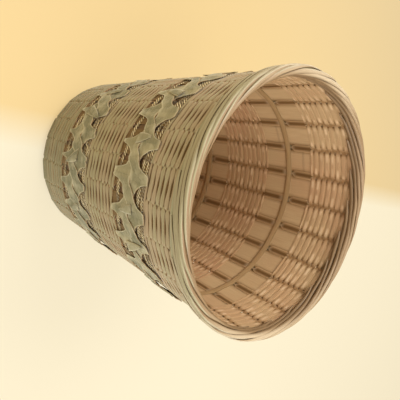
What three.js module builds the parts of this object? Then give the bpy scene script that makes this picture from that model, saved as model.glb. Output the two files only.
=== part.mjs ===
// Bamboo wastebasket: a round, tapered basket woven on wide flat stakes.
// Millimetres, +Z up, origin at the centre of the circle that the foot hoop stands on.
//
// Every woven piece follows the stakes. A stake is described by the profile of its outer face:
// radial under the basket, round the heel, and straight up the leaning wall. Weavers, ribbons
// and hoops are strips laid on that face, outside it or behind it.

import * as THREE from 'three';

// Stakes
const stakeCount = 23;
const stakeThickness = 1.0;
const stakeGap = 6; // between neighbouring stakes on the wall
const spokeTipRadius = 24; // inner end of a stake, under the basket
const spokeTipWidth = 3.2;
const baseRadius = 90; // outer face of the wall, carried down to the level of the base
const rimRadius = 124; // the same at the top of the stakes
const basketHeight = 300;
const heelRadius = 5.5;
const heelSteps = 3;

// Fit
const seat = 0.3; // clearance between pieces that touch
const bendRoom = 0.6; // how far past a stake's edge a weaver bends
const bendShare = 0.4; // the same bend as a share of the way from one stake to the next

// Foot and centre of the base
const footHeight = 4;
const footWidth = 5;
const footInset = 1.2; // from the start of the heel in to the foot hoop
const discRadius = 31;
const discThickness = 1.2;

// Weave
const weaverThickness = 0.9;
const weaverEndTurns = 0.2; // part of a turn left off where a weaver's end has run out to a point
const baseCourses = 3;
const lowerCourses = 5;
const middleCourses = 5;
const upperCourses = 4;

// Levels of the bands on the wall
const lowerWeaveTop = 63;
const middleWeaveBottom = 121;
const middleWeaveTop = 180;
const upperWeaveBottom = 237;

// Open bands
const ribbonThickness = 0.8;
const ribbonPeakLength = 10; // the stretch at full height, over the middle of a stake
const ribbonShoulderLength = 16.5; // the stretch between the shoulders, where the ear begins
const ribbonShoulderHeight = 13.5; // from the middle of the band up to a shoulder
const ribbonShoulderLap = 2.5; // how far the ribbons lap there
const ribbonWaist = 18; // height where the two ribbons cross, over a gap
const innerHoopWidth = 9.5;
const innerHoopThickness = 1.1;

// Rim
const rimHoopWidth = 16;
const rimOuterHoopThickness = 1.8;
const rimInnerHoopWidth = 15;
const rimInnerHoopThickness = 1.5;
const rimStripWidth = 4.7;
const rimStripThickness = 1.5;
const rimTurns = 5;
const rimStepsPerTurn = 26;

// Facets of the round pieces
const hoopSegments = 2 * stakeCount;
const discSegments = 24;

// Derived sizes
const baseLevel = footHeight + seat;
const stakeStep = (2 * Math.PI) / stakeCount;
const halfStep = stakeStep / 2;
const hoopChord = Math.cos(Math.PI / hoopSegments);
const topCornerRadius = Math.hypot(rimRadius, stakeWidth(rimRadius) / 2);
const coreOuterRadius = (topCornerRadius + seat) / hoopChord + rimOuterHoopThickness;
const coreInnerRadius = rimRadius - stakeThickness - seat - rimInnerHoopThickness;
const windingOuterSeat = (coreOuterRadius + seat) / Math.cos(Math.PI / rimStepsPerTurn);
const windingInnerSeat = coreInnerRadius * hoopChord - seat;
const crownMiddle = (windingOuterSeat + windingInnerSeat) / 2;
const crownRadius = Math.hypot((windingOuterSeat - windingInnerSeat) / 2, rimStripWidth / 4);
const stakeTop = basketHeight - crownRadius - rimStripThickness;
const wallLean = Math.atan((rimRadius - baseRadius) / (stakeTop - baseLevel));
const heelTurn = Math.PI / 2 - wallLean;
const heelReach = heelRadius * Math.tan(heelTurn / 2);
const spokeEndRadius = baseRadius - heelReach;
const footOuterRadius = spokeEndRadius - footInset;
const wallStart = baseLevel + heelReach * Math.cos(wallLean);

// Materials, one for each kind of bamboo strip
const bamboo = (color, roughness) => new THREE.MeshStandardMaterial({ color, roughness, metalness: 0 });
const stakeBamboo = bamboo(0xa98457, 0.7);
const sageWeaver = bamboo(0xa3a078, 0.6);
const tanWeaver = bamboo(0xb79a74, 0.65);
const greenRibbon = bamboo(0xafb088, 0.55);
const oliveHoop = bamboo(0x94895c, 0.6);
const rimGreen = bamboo(0xb0b18a, 0.5);
const rimCane = bamboo(0xcdb795, 0.55);

/** Width of a stake whose face is this far from the axis. */
function stakeWidth(radius) {
  return 2 * radius * Math.tan(halfStep) - stakeGap;
}

/** Outer face of a stake on the wall, at a height: place, outward normal and half width. */
function wallFace(z) {
  const radius = baseRadius + (z - baseLevel) * Math.tan(wallLean);
  return {
    radius,
    z,
    normal: new THREE.Vector2(Math.cos(wallLean), -Math.sin(wallLean)),
    half: stakeWidth(radius) / 2,
  };
}

/** Underside of a stake below the basket, at a distance from the axis. */
function baseFace(radius) {
  const share = (radius - spokeTipRadius) / (spokeEndRadius - spokeTipRadius);
  const width = THREE.MathUtils.lerp(spokeTipWidth, stakeWidth(spokeEndRadius), share);
  return { radius, z: baseLevel, normal: new THREE.Vector2(0, -1), half: width / 2 };
}

/** Outer face of a stake on the heel, from 0 where the base ends to 1 where the wall starts. */
function heelFace(share) {
  const turn = heelTurn * share;
  const radius = spokeEndRadius + heelRadius * Math.sin(turn);
  const z = baseLevel + heelRadius * (1 - Math.cos(turn));
  const normal = new THREE.Vector2(Math.sin(turn), -Math.cos(turn));
  return { radius, z, normal, half: stakeWidth(radius) / 2 };
}

/** A point at a distance off a face (negative is behind it) and along its width. */
function offFace(face, offset, along, angle) {
  const radius = face.radius + face.normal.x * offset;
  const z = face.z + face.normal.y * offset;
  const x = radius * Math.cos(angle) - along * Math.sin(angle);
  const y = radius * Math.sin(angle) + along * Math.cos(angle);
  return new THREE.Vector3(x, y, z);
}

/** Distance from the axis to the corner of a stake on the wall. */
function stakeCornerRadius(z) {
  const face = wallFace(z);
  return Math.hypot(face.radius, face.half);
}

/** Angle of the middle of a stake. */
function stakeAngle(index) {
  return (index + 0.5) * stakeStep;
}

/** Volume inside a closed triangle mesh, negative where its faces point in. */
function signedVolume(points, index) {
  const cross = new THREE.Vector3();
  let volume = 0;
  for (let i = 0; i < index.length; i += 3) {
    const [a, b, c] = [points[index[i]], points[index[i + 1]], points[index[i + 2]]];
    volume += a.dot(cross.crossVectors(b, c)) / 6;
  }
  return volume;
}

/** A strip with a four-cornered section, given as the corners at each station on its way. */
class StripGeometry extends THREE.BufferGeometry {
  constructor(stations, closed = false) {
    super();
    const sides = stations[0].length;
    const points = stations.flat();
    const index = [];
    const lastStation = closed ? stations.length : stations.length - 1;
    for (let i = 0; i < lastStation; i += 1) {
      const here = i * sides;
      const next = ((i + 1) % stations.length) * sides;
      for (let j = 0; j < sides; j += 1) {
        const k = (j + 1) % sides;
        index.push(here + j, next + j, next + k);
        index.push(here + j, next + k, here + k);
      }
    }
    if (!closed) {
      const end = points.length - sides;
      for (let j = 1; j < sides - 1; j += 1) {
        index.push(0, j, j + 1);
        index.push(end, end + j + 1, end + j);
      }
    }
    if (signedVolume(points, index) < 0) {
      index.reverse();
    }
    this.setFromPoints(points);
    this.setIndex(index);
    this.computeVertexNormals();
  }
}

/** The four corners of a strip that lies on a stake, between two faces and two offsets. */
function stripCorners([lower, upper], [near, far], along, angle) {
  return [
    offFace(lower, near, along(lower), angle),
    offFace(lower, far, along(lower), angle),
    offFace(upper, far, along(upper), angle),
    offFace(upper, near, along(upper), angle),
  ];
}

/** The same where the strip is folded over a gap, with its flats along both stakes. */
function gapCorners(faces, offsets, gap) {
  const reach = 1 / Math.cos(halfStep);
  const spread = new THREE.Vector3(reach, reach, 1);
  return stripCorners(faces, offsets, () => 0, gap * stakeStep).map((corner) => corner.multiply(spread));
}

/** One stake, lying along +X: tip, base, heel and wall. */
function stakeGeometry() {
  const faces = [baseFace(spokeTipRadius)];
  for (let i = 0; i <= heelSteps; i += 1) {
    faces.push(heelFace(i / heelSteps));
  }
  faces.push(wallFace(stakeTop));
  const stations = faces.map((face) => [
    offFace(face, 0, -face.half, 0),
    offFace(face, 0, face.half, 0),
    offFace(face, -stakeThickness, face.half, 0),
    offFace(face, -stakeThickness, -face.half, 0),
  ]);
  return new StripGeometry(stations);
}

/**
 * A weaver wound through the stakes from one level to another: over one stake, behind the next,
 * each course lying on the last. Its ends run out to points, so both edges of the band are level.
 */
function weaverGeometry(faceAt, from, to, courses) {
  const pitch = (to - from + seat) / courses;
  const firstStake = Math.ceil(weaverEndTurns * stakeCount);
  const lastStake = (courses + 1) * stakeCount - firstStake;
  const stations = [];
  for (let i = firstStake; i < lastStake; i += 1) {
    const near = i % 2 === 0 ? seat : -stakeThickness - seat - weaverThickness;
    for (const side of [-1, 1]) {
      const turns = (i + 0.5 + side * bendShare) / stakeCount;
      const lower = faceAt(Math.max(from, from + pitch * (turns - 1)));
      const upper = faceAt(Math.min(to, from + pitch * turns - seat));
      const along = (face) => side * (face.half + bendRoom);
      stations.push(stripCorners([lower, upper], [near, near + weaverThickness], along, stakeAngle(i)));
    }
  }
  return new StripGeometry(stations);
}

/**
 * One of the two ribbons of an open band, outside the stakes. It is high over one stake and low
 * over the next. Over each gap it crosses the other ribbon, above it and below it in turn. Its
 * ends meet those of the other ribbon over the first stake.
 */
function ribbonGeometry(bandBottom, bandTop, startsHigh) {
  const middle = (bandBottom + bandTop) / 2;
  const span = (from, to, high) => {
    const [lower, upper] = high ? [from, to] : [-to, -from];
    return [wallFace(middle + lower), wallFace(middle + upper)];
  };
  const peak = (bandTop - bandBottom) / 2 - seat;
  const offsetsOverGap = (gap) => {
    const near = (gap % 2 === 0) === startsHigh ? 2 * seat + ribbonThickness : seat;
    return [near, near + ribbonThickness];
  };
  const stations = [];
  const addOverStake = (stake, along, lowest, highest, gap) => {
    const faces = span(lowest, highest, (stake % 2 === 0) === startsHigh);
    stations.push(stripCorners(faces, offsetsOverGap(gap), () => along, stakeAngle(stake)));
  };
  addOverStake(0, seat / 2, seat / 2, peak, 0);
  for (let gap = 0; gap < stakeCount; gap += 1) {
    addOverStake(gap, ribbonPeakLength / 2, seat / 2, peak, gap);
    addOverStake(gap, ribbonShoulderLength / 2, -ribbonShoulderLap, ribbonShoulderHeight, gap);
    const waist = span(-ribbonWaist / 2, ribbonWaist / 2, true);
    stations.push(gapCorners(waist, offsetsOverGap(gap), gap + 1));
    addOverStake(gap + 1, -ribbonShoulderLength / 2, -ribbonShoulderLap, ribbonShoulderHeight, gap);
    addOverStake(gap + 1, -ribbonPeakLength / 2, seat / 2, peak, gap);
  }
  addOverStake(stakeCount, -seat / 2, seat / 2, peak, stakeCount - 1);
  return new StripGeometry(stations);
}

/** A hoop behind the stakes, flat against each one. */
function innerHoopGeometry(middle) {
  const faces = [wallFace(middle - innerHoopWidth / 2), wallFace(middle + innerHoopWidth / 2)];
  const near = -stakeThickness - seat;
  const stations = [];
  for (let gap = 0; gap < stakeCount; gap += 1) {
    stations.push(gapCorners(faces, [near - innerHoopThickness, near], gap));
  }
  return new StripGeometry(stations, true);
}

/** A closed ring turned about the axis from the [radius, z] corners of its section. */
function ringGeometry(corners) {
  const profile = [...corners, corners[0]].map(([radius, z]) => new THREE.Vector2(radius, z));
  return new THREE.LatheGeometry(profile, hoopSegments).rotateX(Math.PI / 2);
}

/** The flat hoop outside the stake tops, leaning with the wall. */
function rimOuterHoopGeometry() {
  const bottom = stakeTop - rimHoopWidth;
  const inner = (z) => (stakeCornerRadius(z) + seat) / hoopChord;
  return ringGeometry([
    [inner(bottom), bottom],
    [inner(bottom) + rimOuterHoopThickness, bottom],
    [coreOuterRadius, stakeTop],
    [inner(stakeTop), stakeTop],
  ]);
}

/** The hoop inside the stake tops, under the winding. */
function rimInnerHoopGeometry() {
  const bottom = stakeTop - rimInnerHoopWidth;
  const outer = (z) => wallFace(z).radius - stakeThickness - seat;
  return ringGeometry([
    [outer(bottom) - rimInnerHoopThickness, bottom],
    [outer(bottom), bottom],
    [outer(stakeTop), stakeTop],
    [coreInnerRadius, stakeTop],
  ]);
}

/** The way over the rim, from the outer side round the crown and down inside: place and normal. */
function crownPoint(way) {
  const past = way - Math.PI * crownRadius;
  const turn = THREE.MathUtils.clamp(way / crownRadius, 0, Math.PI) - wallLean;
  const normal = new THREE.Vector2(Math.cos(turn), Math.sin(turn));
  const straight = way < 0 ? way : -Math.max(past, 0);
  return {
    radius: crownMiddle + crownRadius * normal.x + straight * Math.sin(wallLean),
    z: stakeTop + crownRadius * normal.y + straight * Math.cos(wallLean),
    normal,
  };
}

/** The rim's long strip: each turn lies beside the last, and it slides over the crown inwards. */
function rimWindingGeometry() {
  const steps = rimTurns * rimStepsPerTurn;
  const stations = [];
  for (let i = 0; i <= steps; i += 1) {
    const middle = rimStripWidth / 2 + ((rimStripWidth + seat) * i) / rimStepsPerTurn;
    const faces = [-0.5, 0, 0.5].map((share) => crownPoint(middle + share * rimStripWidth));
    const angle = (2 * Math.PI * i) / rimStepsPerTurn;
    stations.push([
      ...faces.map((face) => offFace(face, 0, 0, angle)),
      ...faces.reverse().map((face) => offFace(face, rimStripThickness, 0, angle)),
    ]);
  }
  return new StripGeometry(stations);
}

/** A flat round disc, standing on a level. */
function discGeometry(bottom) {
  const geometry = new THREE.CylinderGeometry(discRadius, discRadius, discThickness, discSegments);
  return geometry.rotateX(Math.PI / 2).translate(0, 0, bottom + discThickness / 2);
}

/** The outermost radius that the base weave can reach inside the foot hoop. */
function baseWeaveEnd() {
  const room = footInnerRadius * hoopChord - seat;
  return Math.sqrt(room ** 2 - (baseFace(room).half + bendRoom) ** 2);
}

const basket = new THREE.Group();

/** Adds a named piece to the basket. */
function addPiece(name, geometry, material) {
  const mesh = new THREE.Mesh(geometry, material);
  mesh.name = name;
  basket.add(mesh);
  return mesh;
}

// Stakes, one every step round the basket
const stakeShape = stakeGeometry();
for (let i = 0; i < stakeCount; i += 1) {
  const name = `stake_${String(i + 1).padStart(2, '0')}`;
  addPiece(name, stakeShape, stakeBamboo).rotation.z = stakeAngle(i);
}

// Base
const footInnerRadius = footOuterRadius - footWidth;
const footSection = [
  [footInnerRadius, 0],
  [footOuterRadius, 0],
  [footOuterRadius, footHeight],
  [footInnerRadius, footHeight],
];
addPiece('foot_hoop', ringGeometry(footSection), oliveHoop);
addPiece('base_disc_under', discGeometry(baseLevel - seat - discThickness), stakeBamboo);
addPiece('base_disc_over', discGeometry(baseLevel + stakeThickness + seat), stakeBamboo);
const baseWeave = weaverGeometry(baseFace, discRadius + seat, baseWeaveEnd(), baseCourses);
addPiece('base_weave', baseWeave, tanWeaver);

// Woven bands of the wall
const upperWeaveTop = stakeTop - rimHoopWidth - seat;
const lowerWeave = weaverGeometry(wallFace, wallStart, lowerWeaveTop, lowerCourses);
const middleWeave = weaverGeometry(wallFace, middleWeaveBottom, middleWeaveTop, middleCourses);
const upperWeave = weaverGeometry(wallFace, upperWeaveBottom, upperWeaveTop, upperCourses);
addPiece('lower_weave', lowerWeave, sageWeaver);
addPiece('middle_weave', middleWeave, tanWeaver);
addPiece('upper_weave', upperWeave, tanWeaver);

// Open bands
const openBands = [
  ['lower_open', lowerWeaveTop, middleWeaveBottom],
  ['upper_open', middleWeaveTop, upperWeaveBottom],
];
for (const [name, bottom, top] of openBands) {
  addPiece(`${name}_ribbon_a`, ribbonGeometry(bottom, top, true), greenRibbon);
  addPiece(`${name}_ribbon_b`, ribbonGeometry(bottom, top, false), greenRibbon);
  addPiece(`${name}_inner_hoop`, innerHoopGeometry((bottom + top) / 2), oliveHoop);
}

// Rim
addPiece('rim_outer_hoop', rimOuterHoopGeometry(), rimGreen);
addPiece('rim_inner_hoop', rimInnerHoopGeometry(), rimGreen);
addPiece('rim_winding', rimWindingGeometry(), rimCane);

export default basket;
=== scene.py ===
"""Bamboo wastebasket: the looks of every strip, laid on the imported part.

Metres, +Z up, origin at the centre of the circle that the foot stands on. Each strip is a flat
grid that is laid along its way round the basket, as a maker bends a split of bamboo, and then
given its thickness. The stakes, the woven bands, the open bands, the hoops and the rim are
classes of their own, and each finish is a node material that reads the strip's own length.
What is drawn at random is seeded.
"""

from __future__ import annotations

import logging
import math
from collections.abc import Callable, Iterable
from dataclasses import dataclass
from enum import Enum
from functools import partial

import bpy
import numpy as np
from mathutils import Matrix, Vector

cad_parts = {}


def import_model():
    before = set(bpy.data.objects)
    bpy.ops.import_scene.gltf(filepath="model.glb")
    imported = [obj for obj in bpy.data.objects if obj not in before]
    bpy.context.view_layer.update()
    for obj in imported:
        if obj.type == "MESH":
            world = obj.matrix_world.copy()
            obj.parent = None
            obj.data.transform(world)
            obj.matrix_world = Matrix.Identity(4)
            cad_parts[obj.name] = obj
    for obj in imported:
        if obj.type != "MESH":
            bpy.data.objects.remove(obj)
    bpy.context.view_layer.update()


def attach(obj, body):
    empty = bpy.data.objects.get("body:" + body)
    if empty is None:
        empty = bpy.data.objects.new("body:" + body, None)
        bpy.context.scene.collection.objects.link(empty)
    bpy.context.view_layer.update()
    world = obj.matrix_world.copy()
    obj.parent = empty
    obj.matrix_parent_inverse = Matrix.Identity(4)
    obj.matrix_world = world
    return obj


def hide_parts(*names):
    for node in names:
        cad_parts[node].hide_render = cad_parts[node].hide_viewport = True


LOG = logging.getLogger("wastebasket")
MM = 0.001
ROUND = 2 * math.pi
Array = np.ndarray
Piece = bpy.types.Object
Node = bpy.types.Node
Socket = bpy.types.NodeSocket
# Gives points from places along a strip's way and shares of its width, from 0 to 1.
Placer = Callable[[Array, Array], Array]
# As a screen shows it, 0 to 255.
Colour = tuple[float, float, float]

FLUSH: Colour = (184, 132, 96)
# Painted highlight along the top of the rim.
PAINTED_CROWN_HIGHLIGHT: Colour = (204, 184, 152)
# Painted shade where a strand dips through a gap between stakes.
PAINTED_GAP_SHADE: Colour = (142, 104, 60)
# Painted highlight at a strand's bends.
LIT_FLECK: Colour = (244, 214, 172)


class Surface(Enum):
    """Which part of the stakes a woven strip lies on."""

    WALL = "wall"
    BASE = "base"


def smooth(value: Array) -> Array:
    """Eases a value from 0 to 1, held at both ends."""
    share = np.clip(value, 0.0, 1.0)
    return share * share * (3.0 - 2.0 * share)


def arch(share: Array) -> Array:
    """A rise from 0 at both edges of a strip to 1 along its middle."""
    return 1 - (2 * share - 1) ** 2


def waver(position: Array, period: float, seed: int) -> Array:
    """A slow hand-made waver along a strip.

    Args:
        position: places along the strip.
        period: the longest wave, in the same unit.
        seed: picks the waver.

    Returns:
        Values of about -1 to 1.
    """
    rng = np.random.RandomState(seed)
    total = np.zeros_like(position, dtype=float)
    for octave in (1.0, 1.9, 3.3, 5.1):
        phase, stretch = rng.uniform(0, ROUND), rng.uniform(0.85, 1.15)
        total += np.sin(ROUND * position * octave * stretch / period + phase) / octave
    return total / 1.7


def pick(index: Array, seed: int) -> Array:
    """A fixed random value from 0 to 1 for each whole number.

    Args:
        index: whole numbers, negative ones too.
        seed: picks the series.

    Returns:
        One value for each number.
    """
    series = np.random.RandomState(seed).uniform(0, 1, 4096)
    return series[np.mod(index.astype(int), 4096)]


def pick_one(index: int, seed: int) -> float:
    """The same for a single number."""
    return float(pick(np.asarray([index]), seed)[0])


def about_axis(radius: Array, angle: Array, level: Array) -> Array:
    """Points at distances from the axis, angles and heights."""
    return np.stack([radius * np.cos(angle), radius * np.sin(angle), level], axis=-1)


@dataclass(frozen=True)
class BasketShape:
    """The cone of flat stakes that every strip follows."""

    stakes: int = 23
    stake_thickness: float = 1.0 * MM
    stake_gap: float = 6.0 * MM
    tip_radius: float = 24.0 * MM
    tip_width: float = 3.2 * MM
    base_radius: float = 90.0 * MM
    rim_radius: float = 124.0 * MM
    height: float = 300.0 * MM
    heel_radius: float = 5.5 * MM
    seat: float = 0.3 * MM
    foot_height: float = 4.0 * MM
    foot_width: float = 5.0 * MM
    foot_inset: float = 1.2 * MM
    hoop_outer_thickness: float = 1.8 * MM
    hoop_inner_thickness: float = 1.5 * MM
    hoop_width: float = 16.0 * MM
    strip_width: float = 4.7 * MM
    strip_thickness: float = 1.5 * MM
    rim_steps: int = 26

    @property
    def step(self) -> float:
        """Angle from one stake to the next."""
        return ROUND / self.stakes

    @property
    def base_level(self) -> float:
        """Height of the stakes' underside below the basket."""
        return self.foot_height + self.seat

    @property
    def core_outer(self) -> float:
        """Outer radius of the hoop at the stake tops."""
        corner = math.hypot(self.rim_radius, self.stake_width(self.rim_radius) / 2)
        return (corner + self.seat) / math.cos(math.pi / (2 * self.stakes)) + self.hoop_outer_thickness

    @property
    def core_inner(self) -> float:
        """Inner radius of the inner hoop at the stake tops."""
        return self.rim_radius - self.stake_thickness - self.seat - self.hoop_inner_thickness

    @property
    def crown_seats(self) -> tuple[float, float]:
        """Radii between which the winding crosses the rim.

        Returns:
            The outer and the inner radius.
        """
        outer = (self.core_outer + self.seat) / math.cos(math.pi / self.rim_steps)
        inner = self.core_inner * math.cos(math.pi / (2 * self.stakes)) - self.seat
        return outer, inner

    @property
    def crown_middle(self) -> float:
        """Radius of the middle of the rim."""
        return sum(self.crown_seats) / 2

    @property
    def crown_radius(self) -> float:
        """Radius of the round of the rim."""
        outer, inner = self.crown_seats
        return math.hypot((outer - inner) / 2, self.strip_width / 4)

    @property
    def stake_top(self) -> float:
        """Height of the stake tops."""
        return self.height - self.crown_radius - self.strip_thickness

    @property
    def lean(self) -> float:
        """Lean of the wall from upright."""
        return math.atan((self.rim_radius - self.base_radius) / (self.stake_top - self.base_level))

    @property
    def heel_reach(self) -> float:
        """How far the heel reaches along the base and along the wall."""
        return self.heel_radius * math.tan((math.pi / 2 - self.lean) / 2)

    @property
    def spoke_end(self) -> float:
        """Radius where the base ends and the heel begins."""
        return self.base_radius - self.heel_reach

    @property
    def wall_start(self) -> float:
        """Height where the heel ends and the wall begins."""
        return self.base_level + self.heel_reach * math.cos(self.lean)

    @property
    def foot_outer(self) -> float:
        """Outer radius of the foot hoop."""
        return self.spoke_end - self.foot_inset

    def stake_width(self, radius: float | Array) -> float | Array:
        """Width of a stake whose face is this far from the axis."""
        return 2 * radius * math.tan(self.step / 2) - self.stake_gap

    def wall_radius(self, level: Array | float) -> Array | float:
        """Distance from the axis to the stakes' outer face at a height."""
        return self.base_radius + (level - self.base_level) * math.tan(self.lean)

    def pace(self, level: Array | float) -> Array | float:
        """Distance round the wall from one stake to the next at a height."""
        return self.wall_radius(level) * self.step

    def on_stakes(
        self, surface: Surface, level: Array, off: Array, position: Array
    ) -> Array:
        """Points on the stakes, or off them.

        Args:
            surface: wall or base.
            level: height on the wall, or distance from the axis under the base.
            off: distance off the stakes' outer face, negative behind it.
            position: angle in stake steps.

        Returns:
            An array of points.
        """
        corner = np.abs(2 * (position - np.floor(position)) - 1)
        swell = 1 + (self.step / 2) ** 2 / 2 * (corner**2 - corner**4 / 2)
        if surface is Surface.WALL:
            radius = self.wall_radius(level) * swell + off * math.cos(self.lean)
            height = level - off * math.sin(self.lean)
        else:
            radius = level * swell
            height = self.base_level - off
        return about_axis(radius, position * self.step, height)

    def on_crown(self, way: Array, off: Array, angle: Array) -> Array:
        """Points on the rim, from the outer side round the crown and down inside.

        Args:
            way: distance from the outer foot of the crown.
            off: distance off the crown.
            angle: angle about the axis.

        Returns:
            An array of points.
        """
        turn = np.clip(way / self.crown_radius, 0, math.pi) - self.lean
        past = np.maximum(way - math.pi * self.crown_radius, 0)
        straight = np.where(way < 0, way, -past)
        reach = self.crown_radius + off
        radius = self.crown_middle + reach * np.cos(turn) + straight * math.sin(self.lean)
        height = self.stake_top + reach * np.sin(turn) + straight * math.cos(self.lean)
        return about_axis(radius, angle, height)


def as_light(colour: Colour) -> tuple[float, float, float, float]:
    """A colour as light.

    Args:
        colour: the colour as a screen shows it.

    Returns:
        Red, green and blue, and a full alpha.
    """
    channels = [c / 255.0 for c in colour]
    lit = [c / 12.92 if c <= 0.04045 else ((c + 0.055) / 1.055) ** 2.4 for c in channels]
    return (lit[0], lit[1], lit[2], 1.0)


@dataclass
class NodeBench:
    """Adds and joins shader nodes."""

    tree: bpy.types.NodeTree

    @classmethod
    def cleared(cls, owner: bpy.types.Material | bpy.types.World) -> NodeBench:
        """A bench on the emptied node tree of a material or a world.

        Args:
            owner: the material or the world.

        Returns:
            The bench.
        """
        owner.use_nodes = True
        owner.node_tree.nodes.clear()
        return cls(owner.node_tree)

    def add(self, kind: str, **settings: object) -> Node:
        """A new node with these settings.

        Args:
            kind: the type of node.
            settings: its properties by name.

        Returns:
            The node.
        """
        node = self.tree.nodes.new(kind)
        for key, value in settings.items():
            setattr(node, key, value)
        return node

    def feed(self, node: Node, **values: object) -> Node:
        """Sets a node's sockets, or links them where the value is an output.

        Args:
            node: the node.
            values: socket names, with _ for a space, or i and a number.

        Returns:
            The same node.
        """
        for key, value in values.items():
            plain = key.replace("_", " ")
            socket = node.inputs[int(key[1:])] if key[1:].isdigit() else node.inputs[plain]
            if isinstance(value, Socket):
                self.tree.links.new(value, socket)
            else:
                socket.default_value = value
        return node

    def maths(self, operation: str, first: object, second: object = 0.0) -> Socket:
        """One sum on two numbers."""
        return self.feed(self.add("ShaderNodeMath", operation=operation), i0=first, i1=second).outputs[0]

    def times(self, first: object, second: object) -> Socket:
        """Two numbers multiplied."""
        return self.maths("MULTIPLY", first, second)

    def plus(self, first: object, second: object) -> Socket:
        """Two numbers added."""
        return self.maths("ADD", first, second)

    def away(self, value: Socket, middle: float) -> Socket:
        """How far a number is from another."""
        return self.maths("ABSOLUTE", self.maths("SUBTRACT", value, middle))

    def blend(self, share: object, first: object, second: object, way: str = "MIX") -> Socket:
        """Two colours mixed by a share, each a socket or three numbers as a screen shows them.

        Args:
            share: how much of the second.
            first: the first colour.
            second: the second colour.
            way: how they are mixed.

        Returns:
            The socket that gives the mix.
        """
        node = self.add("ShaderNodeMix", data_type="RGBA", blend_type=way)
        first, second = (as_light(c) if isinstance(c, tuple) else c for c in (first, second))
        return self.feed(node, i0=share, i6=first, i7=second).outputs[2]

    def layered(self, ground: object, layers: Iterable[tuple[object, object]]) -> Socket:
        """A ground colour with layers over it, each with its share and its colour.

        Args:
            ground: the lowest colour.
            layers: a share and a colour for each layer, from below.

        Returns:
            The socket that gives the result.
        """
        for share, colour in layers:
            ground = self.blend(share, ground, colour)
        return ground

    def spread(
        self, value: object, low: float, high: float, to_low: float = 0.0, to_high: float = 1.0
    ) -> Socket:
        """A number moved from one range to another, held at its ends."""
        node = self.add("ShaderNodeMapRange")
        return self.feed(node, i0=value, i1=low, i2=high, i3=to_low, i4=to_high).outputs[0]

    def noise(self, vector: object, scale: float, detail: float = 2.0, rough: float = 0.5) -> Socket:
        """Noise at a scale, from 0 to 1."""
        node = self.add("ShaderNodeTexNoise")
        return self.feed(node, Vector=vector, Scale=scale, Detail=detail, Roughness=rough).outputs["Fac"]

    def apart(self, vector: Socket) -> tuple[Socket, Socket, Socket]:
        """The three numbers of a vector."""
        return tuple(self.feed(self.add("ShaderNodeSeparateXYZ"), i0=vector).outputs)

    def attribute(self, name: str) -> Socket:
        """A number that a piece carries at each vertex, 0 where it has none."""
        return self.add("ShaderNodeAttribute", attribute_name=name).outputs["Fac"]

    def vector(self, operation: str, first: object, second: object = (0.0, 0.0, 0.0)) -> Node:
        """One sum on two vectors."""
        return self.feed(self.add("ShaderNodeVectorMath", operation=operation), i0=first, i1=second)

    def faces_in(self) -> Socket:
        """1 where a face looks towards the basket's axis, and 0 where it looks out or down.

        Returns:
            The socket that gives it.
        """
        place = self.add("ShaderNodeTexCoord").outputs
        flat = self.vector("MULTIPLY", place["Object"], (1.0, 1.0, 0.0))
        leaned = self.vector("ADD", self.vector("NORMALIZE", flat.outputs[0]).outputs[0], (0.0, 0.0, -0.6))
        facing = self.vector("DOT_PRODUCT", leaned.outputs[0], place["Normal"])
        return self.spread(facing.outputs["Value"], 0.1, -0.1)

    def seen_rays(self) -> Socket:
        """1 for what the camera sees, itself or in gloss or glass, and 0 for the light on the basket.

        Returns:
            The socket that gives it.
        """
        ray = self.add("ShaderNodeLightPath").outputs
        gloss = self.maths("MAXIMUM", ray["Is Camera Ray"], ray["Is Glossy Ray"])
        return self.maths("MAXIMUM", gloss, ray["Is Transmission Ray"])

    def mixed(self, share: Socket, first: Node, second: Node) -> Socket:
        """Two shaders mixed by a share."""
        node = self.add("ShaderNodeMixShader")
        return self.feed(node, i0=share, i1=first.outputs[0], i2=second.outputs[0]).outputs[0]

    def show(self, surface: Socket, kind: str = "Material") -> None:
        """Ends the tree in its output."""
        self.feed(self.add(f"ShaderNodeOutput{kind}"), Surface=surface)


@dataclass(frozen=True)
class StripFinish:
    """A finish of split bamboo, read along the strip's own length.

    The colours light, deep and accent are those of the outer face, and inner and inner_deep
    those of the face towards the axis. fibre and blotch are the strength of the grain and of
    the dark patches, and relief is how deep the grain is felt. ringed adds the rings of the
    stem. rim and inner_rim colour the strip's edges from the share rim_from of its half width:
    darker edges are painted shade between parts, and paler ones painted highlights, except on
    the splints, where paler edges soften their painted shade. blush reddens the inner face,
    crease adds bumped folds with painted highlights on their swells, and crown paints a
    highlight along the top of the rim.
    """

    name: str
    light: Colour
    deep: Colour
    accent: Colour
    inner: Colour
    inner_deep: Colour
    roughness: float = 0.55
    fibre: float = 0.35
    blotch: float = 0.35
    relief: float = 0.35
    ringed: bool = False
    rim: Colour = (190, 176, 140)
    rim_share: float = 0.3
    inner_rim: Colour | None = None
    blush: float = 0.0
    rim_from: float = 0.72
    sheen: float = 0.25
    crease: float = 0.0
    crown: float = 0.0

    def material(self) -> bpy.types.Material:
        """The node material of this finish, made once.

        Returns:
            The material.
        """
        made = bpy.data.materials.get(self.name)
        if made is None:
            made = bpy.data.materials.new(self.name)
            StripShader(NodeBench.cleared(made), self).build()
        return made


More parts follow.
